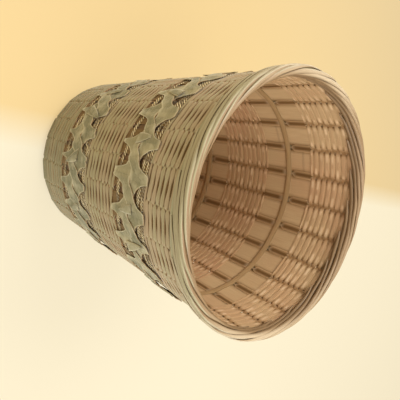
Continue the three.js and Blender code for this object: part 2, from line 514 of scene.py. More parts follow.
class StripShader:
    """The shader of split bamboo: long fibres, blotches, a tone for each length, and painted shade and
    painted highlights on edges, dips and bends.
    """

    FIBRE_CELLS = (45.0, 1900.0)
    STREAK_CELLS = (14.0, 620.0)
    FLECK_CELLS = (260.0, 900.0)
    RINGS_PER_METRE = 5.2
    CROWN_LEVELS = (0.2966, 0.2994)
    BUMP_HEIGHT = 0.25 * MM

    def __init__(self, bench: NodeBench, finish: StripFinish) -> None:
        """Adds the nodes that every layer reads.

        Args:
            bench: the bench of the material.
            finish: the colours and strengths.
        """
        self.bench, self.finish = bench, finish
        self.along, self.across, _ = bench.apart(bench.add("ShaderNodeUVMap", uv_map="lie").outputs[0])
        self.place = bench.add("ShaderNodeTexCoord").outputs["Object"]
        self.tone, self.edge, self.dip, self.gleam = (
            bench.attribute(name) for name in ("tone", "edge", "dip", "gleam")
        )
        self.shift = bench.times(self.tone, 7.0)
        self.fibre = self.drawn_out(self.FIBRE_CELLS, 3.0, 0.62)
        self.streak = self.drawn_out(self.STREAK_CELLS, 2.0, 0.5)
        contrast = finish.fibre * 0.6
        self.fibres = bench.spread(self.fibre, 0.5 - contrast, 0.5 + contrast)

    def drawn_out(self, cells: tuple[float, float], detail: float, rough: float) -> Socket:
        """Noise that is drawn out along the strip, with so many cells in a metre along and across.

        Args:
            cells: how many cells there are in a metre, along and across.
            detail: how many finer layers it has.
            rough: how strong they are.

        Returns:
            The socket that gives it.
        """
        bench = self.bench
        along, across = bench.times(self.along, cells[0]), bench.times(self.across, cells[1])
        cell = bench.feed(bench.add("ShaderNodeCombineXYZ"), i0=along, i1=across, i2=self.shift)
        return bench.noise(cell.outputs[0], 1.0, detail, rough)

    def outer_face(self) -> Socket:
        """The colour of the washed face. Its edges are painted darker as shade or paler as highlight, by
        finish, and it has painted light where the strand dips.

        Returns:
            The socket that gives it.
        """
        bench, look = self.bench, self.finish
        patch = bench.noise(self.place, 34.0, 3.0, 0.55)
        fleck = self.drawn_out(self.FLECK_CELLS, 2.0, 0.6)
        return bench.layered(
            look.light,
            (
                (bench.times(self.fibres, 0.75), look.deep),
                (bench.spread(self.streak, 0.46, 0.72, 0.0, look.fibre), look.deep),
                (bench.spread(self.tone, 0.25, 1.0, 0.0, 0.85), look.accent),
                (bench.spread(patch, 0.48, 0.75, 0.0, look.blotch), look.deep),
                (bench.spread(fleck, 0.66, 0.78, 0.0, 0.5), look.deep),
                # Edges: darker ones are painted shade between strands, and paler ones are painted
                # highlights.
                (bench.spread(self.edge, look.rim_from, 1.0, 0.0, look.rim_share), look.rim),
                # Painted light where the strand dips through a gap.
                (bench.times(self.dip, 0.25), look.light),
            ),
        )

    def inner_face(self) -> Socket:
        """The colour of the natural face, towards the axis, with painted shade at edges and dips, painted
        highlights at bends, and a painted highlight on the rim's top.

        Returns:
            The socket that gives it.
        """
        bench, look = self.bench, self.finish
        layers = [
            (self.fibres, look.inner_deep),
            (bench.spread(self.tone, 0.3, 1.0, 0.0, 0.3), look.inner_deep),
        ]
        if look.blush > 0:
            blush = bench.noise(self.place, 13.0, 2.0, 0.5)
            layers.append((bench.spread(blush, 0.46, 0.68, 0.0, look.blush), FLUSH))
        # Inner edges: darker ones are painted shade beside gaps and hoops, and the splints' paler ones
        # soften their painted shade.
        if look.inner_rim is not None:
            layers.append((bench.spread(self.edge, look.rim_from, 1.0, 0.0, 0.85), look.inner_rim))
        # Painted highlight: a pale band along the top of the rim, picked out by height.
        if look.crown > 0:
            crown = bench.spread(bench.apart(self.place)[2], *self.CROWN_LEVELS, 0.0, look.crown)
            layers.append((bench.times(crown, bench.spread(self.tone, 0.3, 0.8, 1.0, 0.1)), PAINTED_CROWN_HIGHLIGHT))
        # Painted shade where the strand dips through a gap between stakes.
        layers.append((bench.times(self.dip, 0.75), PAINTED_GAP_SHADE))
        # Painted highlights on the strand's bends beside a gap, and painted light across the splints'
        # middle.
        lit = bench.times(self.gleam, bench.spread(self.edge, 0.3, 0.9, 0.55, 0.0))
        layers.append((lit, LIT_FLECK))
        return bench.layered(look.inner, layers)

    def build(self) -> None:
        """Joins both faces, the rings, the folds with their painted highlights and the relief in one skin.
        """
        bench, look = self.bench, self.finish
        inside = bench.faces_in()
        body = bench.blend(inside, self.outer_face(), self.inner_face())
        relief = bench.plus(bench.times(self.fibre, 0.7), bench.times(self.streak, 0.5))
        if look.ringed:
            rings = bench.plus(bench.times(self.along, self.RINGS_PER_METRE), self.shift)
            ring = bench.spread(bench.away(bench.maths("FRACT", rings), 0.5), 0.0, 0.012, 1.0, 0.0)
            body = bench.blend(bench.times(ring, 0.2), body, look.deep, "MULTIPLY")
            relief = bench.plus(relief, bench.times(ring, 0.8))
        if look.crease > 0:
            swell = bench.noise(self.place, 75.0, 2.0, 0.5)
            fold = bench.spread(bench.away(swell, 0.5), 0.0, 0.03)
            # Painted highlights on the swells of the folds.
            body = bench.blend(bench.spread(swell, 0.48, 0.78, 0.0, 0.5 * look.crease), body, look.rim)
            for height, strength in ((swell, 9.0), (fold, 1.6)):
                relief = bench.plus(relief, bench.times(height, strength * look.crease))
        rough = bench.spread(self.streak, 0.3, 0.75, look.roughness - 0.08, look.roughness + 0.14)
        bump = bench.add("ShaderNodeBump")
        bench.feed(bump, Strength=look.relief, Distance=self.BUMP_HEIGHT, Height=relief)
        skin = bench.add("ShaderNodeBsdfPrincipled")
        bench.feed(skin, Base_Color=body, Roughness=rough, Normal=bump.outputs[0], Specular_IOR_Level=0.4)
        sheen = bench.times(bench.maths("SUBTRACT", 1.0, inside), look.sheen)
        bench.feed(skin, Sheen_Weight=sheen, Sheen_Roughness=0.45, Sheen_Tint=(0.96, 0.94, 0.86, 1.0))
        bench.show(skin.outputs[0])


class Finishes(Enum):
    """The finishes of the basket: washed outside, natural inside."""

    # The stakes' inner faces are darker towards their edges, as painted shade beside the gaps.
    STAKE = StripFinish(
        "stake bamboo", (124, 94, 44), (90, 67, 27), (108, 80, 40), (200, 169, 126), (180, 147, 105),
        0.6, 0.4, 0.3, 0.5, ringed=True, rim_share=0.0, inner_rim=(128, 92, 48), blush=0.25,
        rim_from=0.6, sheen=0.1,
    )
    # The weavers' edges are darker, as painted shade between strands.
    TAN = StripFinish(
        "tan weaver", (175, 165, 130), (136, 120, 84), (169, 142, 113), (206, 173, 130), (176, 141, 100),
        0.55, 0.5, rim=(98, 76, 36), rim_share=0.7, blush=0.35,
    )
    # The tan weaver made darker as painted shade, and a little greener, for the middle band.
    WASHED = StripFinish(
        "tan weaver with painted shade", (162, 152, 113), (123, 109, 69), (156, 131, 98), (196, 160, 117), (160, 123, 85),
        0.55, 0.5, rim=(86, 67, 30), rim_share=0.7, blush=0.5,
    )
    SAGE = StripFinish(
        "sage weaver", (135, 129, 90), (100, 91, 55), (141, 127, 88), (218, 182, 138), (182, 144, 102),
        0.55, rim=(92, 80, 40), rim_share=0.6, blush=0.5,
    )
    # The ribbons' pale edges and the pale swells of their creases are painted highlights.
    RIBBON = StripFinish(
        "green ribbon", (125, 123, 88), (78, 75, 42), (154, 145, 109), (176, 142, 98), (140, 110, 70),
        0.5, 0.45, 0.2, 0.6, rim=(212, 202, 170), rim_share=0.6, crease=1.0,
    )
    # The hoop's paler outer edges are painted highlights, and its darker inner edges are painted shade.
    OLIVE = StripFinish(
        "olive hoop", (146, 124, 82), (110, 88, 52), (136, 116, 78), (176, 143, 99), (156, 124, 83),
        0.58, inner_rim=(140, 110, 70), rim_from=0.5,
    )
    # The splints are dark as painted shade in the gaps, and their paler inner edges let that painted shade
    # fade.
    SPLINT = StripFinish(
        "dark splint", (108, 80, 40), (74, 54, 26), (114, 76, 44), (116, 82, 40), (94, 64, 30),
        0.65, rim_share=0.0, inner_rim=(196, 158, 112), rim_from=0.25,
    )
    LACE = StripFinish(
        "fine lacing", (248, 234, 194), (218, 196, 146), (98, 76, 38), (118, 90, 50), (90, 66, 32),
        0.5, rim_share=0.0,
    )
    # The rim's green bands and cane strands have darker edges, as painted shade between strands.
    RIM_GREEN = StripFinish(
        "rim green", (180, 174, 142), (130, 126, 93), (132, 133, 94), (166, 140, 102), (126, 102, 66),
        0.45, 0.6, rim=(100, 86, 42), rim_share=0.5,
    )
    # The rim cane's crown is a painted highlight along the top of the rim.
    RIM_CANE = StripFinish(
        "rim cane", (222, 203, 175), (148, 130, 100), (140, 132, 94), (150, 121, 86), (110, 84, 54),
        0.5, 0.6, rim=(104, 80, 42), rim_share=0.55, inner_rim=(102, 72, 34), rim_from=0.68, crown=0.5,
    )
    # The core is dark as painted shade between the rim strands.
    CORE = StripFinish(
        "dark core", (128, 108, 62), (98, 80, 42), (112, 92, 50), (104, 76, 38), (80, 56, 26),
        0.7, rim_share=0.0,
    )


def select_only(piece: Piece) -> None:
    """Makes one object the only one that is selected, and the active one.

    Args:
        piece: the object.
    """
    bpy.ops.object.select_all(action="DESELECT")
    piece.select_set(True)
    bpy.context.view_layer.objects.active = piece


def face_out(piece: Piece) -> None:
    """Turns every face of a closed piece outwards.

    Args:
        piece: the closed piece.
    """
    select_only(piece)
    bpy.ops.object.mode_set(mode="EDIT")
    bpy.ops.mesh.select_all(action="SELECT")
    bpy.ops.mesh.normals_make_consistent(inside=False)
    bpy.ops.object.mode_set(mode="OBJECT")


def round_edges(piece: Piece, width: float, segments: int, angle: float) -> None:
    """Bevels the edges that turn by more than an angle in degrees.

    Args:
        piece: the piece, which is the active one.
        width: width of the bevel.
        segments: steps across it.
        angle: the least turn of an edge, in degrees.
    """
    bevel = piece.modifiers.new("edges", "BEVEL")
    bevel.width = width
    bevel.segments = segments
    bevel.limit_method = "ANGLE"
    bevel.angle_limit = math.radians(angle)
    bpy.ops.object.modifier_apply(modifier=bevel.name)


def note_value(mesh: bpy.types.Mesh, name: str, values: Array) -> None:
    """Keeps a number for each vertex, for the finish to read."""
    layer = mesh.attributes.get(name) or mesh.attributes.new(name, "FLOAT", "POINT")
    layer.data.foreach_set("value", values.astype(np.float32))


def lay_map(mesh: bpy.types.Mesh, flat: Array) -> None:
    """Lays the mesh out flat for the finish to read, from two numbers for each vertex.

    Args:
        mesh: the mesh.
        flat: one row of two numbers for each vertex, in metres.
    """
    corners = np.zeros(len(mesh.loops), dtype=np.int64)
    mesh.loops.foreach_get("vertex_index", corners)
    lie = mesh.uv_layers.active or mesh.uv_layers.new()
    lie.name = "lie"
    lie.data.foreach_set("uv", flat[corners].astype(np.float32).ravel())


def lay_strip(
    name: str,
    stations: Array,
    across: int,
    place: Placer,
    thickness: float,
    tone: Array,
    bevel: float = 0.0,
    sharp: float = 180.0,
    notes: dict[str, Array] | None = None,
) -> Piece:
    """Lays a flat strip along its way, and gives it thickness.

    Args:
        name: name of the piece.
        stations: places along the way.
        across: faces across the strip.
        place: gives points from places along the way and shares of the width.
        thickness: thickness of the strip, half to each side of its points.
        tone: tone of the bamboo at each station.
        bevel: width of the bevel along its edges, if any.
        sharp: angle in degrees above which an edge stays sharp.
        notes: further numbers at each station for the finish to read, by name.

    Returns:
        The piece.
    """
    bpy.ops.object.select_all(action="DESELECT")
    count = len(stations)
    bpy.ops.mesh.primitive_grid_add(
        x_subdivisions=count - 1, y_subdivisions=across, size=1.0, location=(0, 0, 0)
    )
    strip = bpy.context.object
    strip.name = name
    mesh = strip.data
    shares = np.linspace(0.0, 1.0, across + 1)
    points = place(np.tile(stations, across + 1), np.repeat(shares, count))
    mesh.vertices.foreach_set("co", points.astype(np.float32).ravel())
    rows = points.reshape(across + 1, count, 3)
    middle = rows[(across + 1) // 2]
    lengths = np.concatenate([[0.0], np.cumsum(np.linalg.norm(np.diff(middle, axis=0), axis=1))])
    widths = np.linalg.norm(rows[-1] - rows[0], axis=1)
    sideways = np.repeat(shares - 0.5, count) * np.tile(widths, across + 1)
    lay_map(mesh, np.stack([np.tile(lengths, across + 1), sideways], axis=-1))
    note_value(mesh, "tone", np.tile(tone, across + 1))
    note_value(mesh, "edge", np.abs(2 * np.repeat(shares, count) - 1))
    for key, values in (notes or {}).items():
        note_value(mesh, key, np.tile(values, across + 1))
    mesh.update()
    select_only(strip)
    solid = strip.modifiers.new("thickness", "SOLIDIFY")
    solid.thickness = thickness
    solid.offset = 0.0
    bpy.ops.object.modifier_apply(modifier=solid.name)
    if bevel > 0:
        round_edges(strip, bevel, 2, 50)
    face_out(strip)
    if sharp < 180:
        bpy.ops.object.shade_smooth_by_angle(angle=math.radians(sharp))
    else:
        bpy.ops.object.shade_smooth()
    return strip


def join_pieces(name: str, parts: list[Piece]) -> Piece:
    """Joins like parts into one piece.

    Args:
        name: its name.
        parts: the parts, which become one.

    Returns:
        The piece.
    """
    bpy.ops.object.select_all(action="DESELECT")
    for part in parts:
        part.select_set(True)
    bpy.context.view_layer.objects.active = parts[0]
    bpy.ops.object.join()
    parts[0].name = name
    return parts[0]


def dress(piece: Piece, finish: Finishes, slot: str, *nodes: str) -> None:
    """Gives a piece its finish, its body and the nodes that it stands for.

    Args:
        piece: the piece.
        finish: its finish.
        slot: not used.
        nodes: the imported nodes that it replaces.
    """
    piece.data.materials.clear()
    piece.data.materials.append(finish.value.material())
    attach(piece, "root")
    if nodes:
        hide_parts(*nodes)
    stands_for = ", ".join(nodes) or "nothing"
    LOG.info("%s: %d faces, stands for %s", piece.name, len(piece.data.polygons), stands_for)


def lengths_of_tone(stations: Array, length: float, seed: int) -> Array:
    """A tone for each length of bamboo in a strip that is spliced from several.

    Args:
        stations: places along the strip.
        length: usual length of one split, in the same unit.
        seed: picks the tones.

    Returns:
        A tone from 0 to 1 for each station.
    """
    rng = np.random.RandomState(seed)
    ends, tones = [float(stations[0])], [rng.uniform(0, 1)]
    while ends[-1] < stations[-1]:
        ends.append(ends[-1] + length * rng.uniform(0.6, 1.4))
        tones.append(rng.uniform(0, 1))
    return np.asarray(tones)[np.searchsorted(np.asarray(ends), stations, side="right") - 1]


@dataclass
class StakeFrame:
    """The flat stakes: tip under the base, spoke, heel and wall."""

    shape: BasketShape
    bow: float = 0.15 * MM
    bowed_from: float = 8.0 * MM
    laid_share: float = 0.96
    bevel: float = 0.18 * MM
    heel_steps: int = 6
    wall_steps: int = 30
    spoke_steps: int = 6

    def profile(self) -> Array:
        """The stake's way: radius, height, the two parts of its normal, and half its width.

        Returns:
            One row of five numbers for each station.
        """
        shape = self.shape
        rows: list[tuple[float, float, float, float, float]] = []
        for share in np.linspace(0, 1, self.spoke_steps, endpoint=False):
            radius = shape.tip_radius + (shape.spoke_end - shape.tip_radius) * share
            width = shape.tip_width + (shape.stake_width(shape.spoke_end) - shape.tip_width) * share
            rows.append((radius, shape.base_level, 0.0, -1.0, width / 2))
        heel_turn = math.pi / 2 - shape.lean
        for share in np.linspace(0, 1, self.heel_steps, endpoint=False):
            turn = heel_turn * share
            radius = shape.spoke_end + shape.heel_radius * math.sin(turn)
            level = shape.base_level + shape.heel_radius * (1 - math.cos(turn))
            rows.append((radius, level, math.sin(turn), -math.cos(turn), shape.stake_width(radius) / 2))
        for level in np.linspace(shape.wall_start, shape.stake_top, self.wall_steps):
            radius = shape.wall_radius(level)
            half = shape.stake_width(radius) / 2
            rows.append((radius, level, math.cos(shape.lean), -math.sin(shape.lean), half))
        return np.asarray(rows)

    def place(self, rows: Array, position: Array, share: Array) -> Array:
        """Points across the stake at its stations.

        Args:
            rows: the stake's profile.
            position: numbers of its stations.
            share: share of its width, from one edge.

        Returns:
            An array of points.
        """
        radius, level, normal_out, normal_up, half = rows[position.astype(int)].T
        side = 2 * share - 1
        bow = self.bow * np.minimum(1.0, half / self.bowed_from)
        off = -self.shape.stake_thickness / 2 - bow * side**2
        return np.stack([radius + normal_out * off, side * half, level + normal_up * off], axis=-1)

    def build(self) -> None:
        """Lays one stake along +X, and copies it round the basket."""
        rows = self.profile()
        first = lay_strip(
            "stake_form", np.arange(len(rows)), 6, partial(self.place, rows),
            self.shape.stake_thickness * self.laid_share, np.zeros(len(rows)), self.bevel, 40.0,
        )
        for index in range(self.shape.stakes):
            stake = first.copy()
            stake.data = first.data.copy()
            stake.name = f"bamboo_stake_{index + 1:02d}"
            bpy.context.scene.collection.objects.link(stake)
            stake.data.transform(Matrix.Rotation((index + 0.5) * self.shape.step, 4, "Z"))
            note_value(stake.data, "tone", np.full(len(stake.data.vertices), pick_one(index, 11)))
            dress(stake, Finishes.STAKE, "stake_bamboo", f"stake_{index + 1:02d}")
        bpy.data.objects.remove(first)


@dataclass
class WovenBand:
    """A band of fine weavers: one long strand, over one stake and behind the next."""

    shape: BasketShape
    name: str
    node: str
    start: float
    end: float
    pitch: float
    width_over: float
    width_behind: float
    finish: Finishes
    slot: str
    surface: Surface = Surface.WALL
    laid: float = 0.56 * MM
    lie_close: float = 0.14 * MM
    lie_behind: float = 0.04 * MM
    least_width: float = 0.2 * MM
    bulge: float = 0.1 * MM
    round_over: float = 0.26 * MM
    round_behind: float = 0.1 * MM
    crossing: float = 0.3
    stray: float = 0.04
    wander: float = 0.13
    filled: float = 0.945
    hem_courses: float = 2.6
    hem_closed: float = 0.85
    seed: int = 1
    per_stake: int = 14
    end_turns: float = 0.2

    def side(self, position: Array) -> Array:
        """Which side of the stakes the strand is on: 1 outside, -1 behind.

        Args:
            position: angle in stake steps.

        Returns:
            Numbers from -1 to 1.
        """
        gap = np.rint(position)
        shift = self.stray * (2 * pick(gap, self.seed + 9) - 1)
        share = smooth((position - gap - shift) / self.crossing + 0.5)
        after = 1 - 2 * np.mod(gap, 2)
        return -after + 2 * after * share

    def edges(self, position: Array, side: Array) -> tuple[Array, Array]:
        """Heights of the strand's lower and upper edge: a dash over a stake, closed beside it.

        Args:
            position: angle in stake steps, from the strand's start.
            side: which side of the stakes it is on.

        Returns:
            Both heights.
        """
        stake = np.floor(position)
        aside = np.abs(2 * (position - stake) - 1)
        middle = self.start + self.pitch * (position / self.shape.stakes - 0.5)
        middle = middle + self.wander * self.pitch * waver(position, 9.0, self.seed)
        dash = self.width_over * (0.93 + 0.14 * pick(stake, self.seed + 5))
        full = self.pitch * 2 * self.filled
        closed = smooth((aside - 0.05) / (0.56 + 0.26 * pick(stake, self.seed + 8)))
        hem = smooth((self.start + self.hem_courses * self.pitch - middle) / (0.8 * self.pitch))
        closed = np.maximum(closed, self.hem_closed * hem)
        wide = np.where(side > 0, dash + (full - dash) * closed, self.width_behind)
        spread = smooth(np.abs(side) / 0.75)
        width = self.pitch + (wide - self.pitch) * spread
        middle = middle + 0.08 * self.pitch * (pick(stake, self.seed + 6) - 0.5) * spread
        lower = np.clip(middle - width / 2, self.start, self.end - self.least_width)
        upper = np.clip(middle + width / 2, self.start + self.least_width, self.end)
        return lower, upper

    def place(self, position: Array, share: Array) -> Array:
        """Points of the strand, at angles in stake steps.

        Args:
            position: angle in stake steps, from the strand's start.
            share: share of its width, from its lower edge.

        Returns:
            An array of points.
        """
        side = self.side(position)
        lower, upper = self.edges(position, side)
        over = self.lie_close + self.laid / 2
        behind = -self.shape.stake_thickness - self.lie_behind - self.laid / 2
        off = behind + (over - behind) * smooth((side + 0.9) / 1.15)
        stake = np.floor(position)
        puff = self.bulge * (0.6 + 0.8 * pick(stake, self.seed + 7))
        off = off + side * arch(position - stake) * puff * np.where(side > 0, 1.0, 0.4)
        off = off + np.where(side > 0, self.round_over, self.round_behind) * side * arch(share)
        return self.shape.on_stakes(self.surface, lower + (upper - lower) * share, off, position)

    def notes(self, stations: Array) -> dict[str, Array]:
        """What the finish reads: where the strand dips through a gap, which gets painted shade inside and
        painted light outside, and where painted highlights go at its bends.

        Args:
            stations: angles in stake steps.

        Returns:
            A number at each station, under each name.
        """
        dip = 1 - np.abs(self.side(stations))
        aside = 2 * np.abs(stations - np.rint(stations))
        room = 0.3 + 0.45 * pick(np.floor(stations * 2), self.seed + 3)
        lit = smooth((aside - 0.2) / 0.1) * smooth((room + 0.2 - aside) / 0.2)
        return {"dip": smooth(dip * 1.6 - 0.15), "gleam": lit * pick(np.rint(stations), self.seed + 4)}

    def build(self) -> None:
        """Lays the strand from the band's start to its end."""
        turns = max(2, round((self.end - self.start) / self.pitch))
        self.pitch = (self.end - self.start) / turns
        first = math.ceil(self.end_turns * self.shape.stakes)
        last = (turns + 1) * self.shape.stakes - first
        stations = np.linspace(first + 0.2, last - 0.2, (last - first) * self.per_stake)
        tone = lengths_of_tone(stations, self.shape.stakes * 1.3, self.seed + 2)
        strand = lay_strip(
            self.name, stations, 4, self.place, self.laid, tone, sharp=55.0, notes=self.notes(stations)
        )
        dress(strand, self.finish, self.slot, self.node)


@dataclass
class OpenBand:
    """An open band: two wide ribbons that change places at each gap, and a hoop behind the stakes."""

    shape: BasketShape
    name: str
    bottom: float
    top: float
    seed: int
    lower_hole: tuple[float, float]
    upper_hole: tuple[float, float]
    paleness: float
    thickness: float = 0.7 * MM
    lap: float = 3.4 * MM
    slant: float = 12.0 * MM
    torn: float = 1.0 * MM
    torn_length: float = 0.31
    lap_past: float = 1.2 * MM
    waist: float = 0.2 * MM
    folded_over: float = 0.35 * MM
    curled: float = 0.2 * MM
    hoop_width: float = 6.5 * MM
    hoop_thickness: float = 0.9 * MM
    tucks: int = 13
    tuck_length: float = 24.0 * MM
    tuck_width: float = 11.0 * MM
    tuck_root: float = 0.35
    tuck_steps: int = 12
    tuck_thickness: float = 0.5 * MM
    crossing_stations: tuple[float, float] = (0.4775, 0.5225)
    stations_per_half: tuple[float, ...] = (
        0.0, 0.08, 0.16, 0.24, 0.32, 0.40, 0.48, 0.56, 0.63, 0.69, 0.74, 0.79, 0.84, 0.89, 0.95,
    )

    @property
    def middle(self) -> float:
        """Height of the middle of the band."""
        return (self.bottom + self.top) / 2

    @property
    def room(self) -> float:
        """Half the height of the band."""
        return (self.top - self.bottom) / 2

    @property
    def near(self) -> float:
        """How far off the stakes the nearer ribbon lies."""
        return self.shape.seat + self.thickness / 2

    def edge_of_band(self, position: Array, upper: bool) -> Array:
        """Distance from the middle of the band to its scalloped edge.

        Args:
            position: angle in stake steps.
            upper: the upper edge, or the lower one.

        Returns:
            Distances, largest over the stakes.
        """
        seed = self.seed + (20 if upper else 40)
        hole_half, hole_height = self.upper_hole if upper else self.lower_hole
        gap, stake = np.rint(position), np.floor(position)
        aside = 2 * (position - gap)
        half = hole_half * (0.8 + 0.38 * pick(gap + np.where(aside > 0, 700, 0), seed + 1))
        height = hole_height * (0.82 + 0.3 * pick(gap, seed + 2))
        bite = np.clip(1 - np.abs(aside / half) ** 2.2, 0, 1) ** 0.6
        slant = (position - stake - 0.5) * 2 * (pick(stake, seed + 3) - 0.5) * self.slant
        ear = self.room + self.lap * (pick(stake, seed + 4) - 0.5) + slant
        torn = self.torn * waver(position, self.torn_length, seed + 5)
        return np.minimum(ear - (ear - self.room + height) * bite + torn, self.room + self.lap_past)

    def ripple(self, position: Array, level: Array) -> Array:
        """How far the soft folds stand off, alike for all that lies at one place.

        Args:
            position: angle in stake steps.
            level: height from the middle of the band.

        Returns:
            Distances, up to about a millimetre.
        """
        rise = 0.2 * (1 + waver(position + level * 60, 1.1, self.seed + 103))
        fold = 0.3 * (1 - np.abs(waver(position - level * 42, 1.3, self.seed + 104)))
        return (rise + fold) * MM

    def ribbon_place(self, starts_high: bool, position: Array, share: Array) -> Array:
        """Points of one of the two ribbons, at angles in stake steps.

        Args:
            starts_high: whether it is high over the first stake.
            position: angle in stake steps.
            share: share of its width, from its lower edge.

        Returns:
            An array of points.
        """
        seed = self.seed + (100 if starts_high else 200)
        gap, stake = np.rint(position), np.floor(position)
        high = (np.mod(stake, 2) == 0) == starts_high
        inner = smooth(np.abs(position - gap) * self.shape.pace(self.middle) / (11.0 * MM))
        falling = self.edge_of_band(gap, True) * (1 - inner) - self.waist * inner
        rising = -self.edge_of_band(gap, False) * (1 - inner) + self.waist * inner
        upper = np.where(high, self.edge_of_band(position, True), falling)
        lower = np.where(high, rising, -self.edge_of_band(position, False))
        level = lower + (upper - lower) * share
        far = self.near + self.thickness + self.shape.seat
        swap = np.sin(math.pi / 2 * np.clip(2.4 * np.cos(math.pi * position), -1, 1))
        off = (self.near + far) / 2 + (far - self.near) / 2 * (swap if starts_high else -swap)
        tip = np.clip((np.abs(level) - 15 * MM) / (14 * MM), 0, 1.2) ** 2
        curl = 0.05 + 0.2 * pick(stake + np.where(level > 0, 500, 0), seed + 1)
        over = smooth((np.abs(level) - self.room + 1.6 * MM) / (1.6 * MM))
        off = off + tip * curl * MM + self.folded_over * over
        edge = np.clip(np.abs(2 * share - 1), 0, 1) ** 6
        off = off + edge * self.curled * (1 + waver(position, 2.3, seed + 2))
        off = off + self.ripple(position, level)
        return self.shape.on_stakes(Surface.WALL, self.middle + level, off, position)

    def ribbon_stations(self) -> Array:
        """Places along a ribbon, closer together beside the holes.

        Returns:
            Angles in stake steps.
        """
        half = np.asarray(self.stations_per_half) / 2
        one = np.concatenate([half, self.crossing_stations, 1 - half[:0:-1]])
        turn = [one + gap for gap in range(self.shape.stakes)]
        return np.concatenate([*turn, [float(self.shape.stakes)]]) + 0.5

    def tuck_place(self, number: int, position: Array, share: Array) -> Array:
        """Points of one of the pointed ribbon ends, folded over a stake, from its root to its tip.

        Args:
            number: which of the folded ends.
            position: share of its length, from its root.
            share: share of its width.

        Returns:
            An array of points.
        """
        lot = pick(np.arange(5) + 10 * number, self.seed + 60)
        stake = math.floor((number + 0.8 * lot[0]) * self.shape.stakes / self.tucks)
        lean = (lot[1] - 0.5) * 0.9
        way_up = 1 if lot[2] > 0.5 else -1
        run = self.tuck_length * (0.8 + 0.4 * lot[3])
        level = way_up * (position - self.tuck_root) * run
        width = self.tuck_width * (0.75 + 0.5 * lot[4]) * (1 - 0.85 * position**1.6)
        aside = (share - 0.5) * width + lean * (position - self.tuck_root) * run
        angle = stake + 0.5 + (lot[3] - 0.5) * 0.3 + aside / self.shape.pace(self.middle)
        bow = (0.2 + 0.3 * np.sin(math.pi * share)) * MM
        off = self.near + 2 * self.thickness + self.shape.seat + bow
        off = off - 0.2 * MM * position + self.ripple(angle, level)
        return self.shape.on_stakes(Surface.WALL, self.middle + level, off, angle)

    def hoop_place(self, position: Array, share: Array) -> Array:
        """Points of the hoop behind the stakes, whose end laps its start.

        Args:
            position: angle in stake steps.
            share: share of its width, from its lower edge.

        Returns:
            An array of points.
        """
        behind = self.shape.stake_thickness + self.shape.seat + self.hoop_thickness / 2
        lapped = smooth((position - self.shape.stakes * 0.985) / 0.4) * (self.hoop_thickness + 0.1 * MM)
        sway = 0.5 * MM * waver(position, 12.0, self.seed + 9)
        level = self.middle + (share - 0.5) * self.hoop_width + sway
        off = -behind - lapped - 0.15 * MM * arch(share)
        return self.shape.on_stakes(Surface.WALL, level, off, position)

    def build(self) -> None:
        """Lays both ribbons, the folded ends over them and the hoop."""
        stations = self.ribbon_stations()
        for letter, starts_high in (("a", True), ("b", False)):
            patch = pick(np.floor(stations * 2), self.seed + 3 + starts_high)
            tone = self.paleness * (0.35 + 0.65 * patch + 0.2 * waver(stations, 0.7, self.seed + 13))
            piece = lay_strip(
                f"{self.name}_wide_ribbon_{letter}", stations, 12, partial(self.ribbon_place, starts_high),
                self.thickness * 0.85, np.clip(tone, 0, 1), sharp=50.0,
            )
            dress(piece, Finishes.RIBBON, "green_ribbon", f"{self.name}_ribbon_{letter}")
        folds = []
        way = np.linspace(0.0, 1.0, self.tuck_steps)
        for number in range(self.tucks):
            lot = pick_one(number, self.seed + 61)
            tone = np.full(self.tuck_steps, self.paleness * (0.3 + 0.7 * lot))
            place = partial(self.tuck_place, number)
            folds.append(lay_strip(f"fold_{number}", way, 6, place, self.tuck_thickness, tone))
        dress(join_pieces(f"{self.name}_folded_ends", folds), Finishes.RIBBON, "green_ribbon")
        around = np.linspace(-0.3, self.shape.stakes + 0.6, self.shape.stakes * 10)
        tone = np.clip(0.5 + 0.5 * waver(around, 9.0, self.seed + 8), 0, 1)
        laid = self.hoop_thickness * 0.9
        hoop = lay_strip(f"{self.name}_back_hoop", around, 4, self.hoop_place, laid, tone, 0.2 * MM, 40.0)
        dress(hoop, Finishes.OLIVE, "olive_hoop", f"{self.name}_inner_hoop")


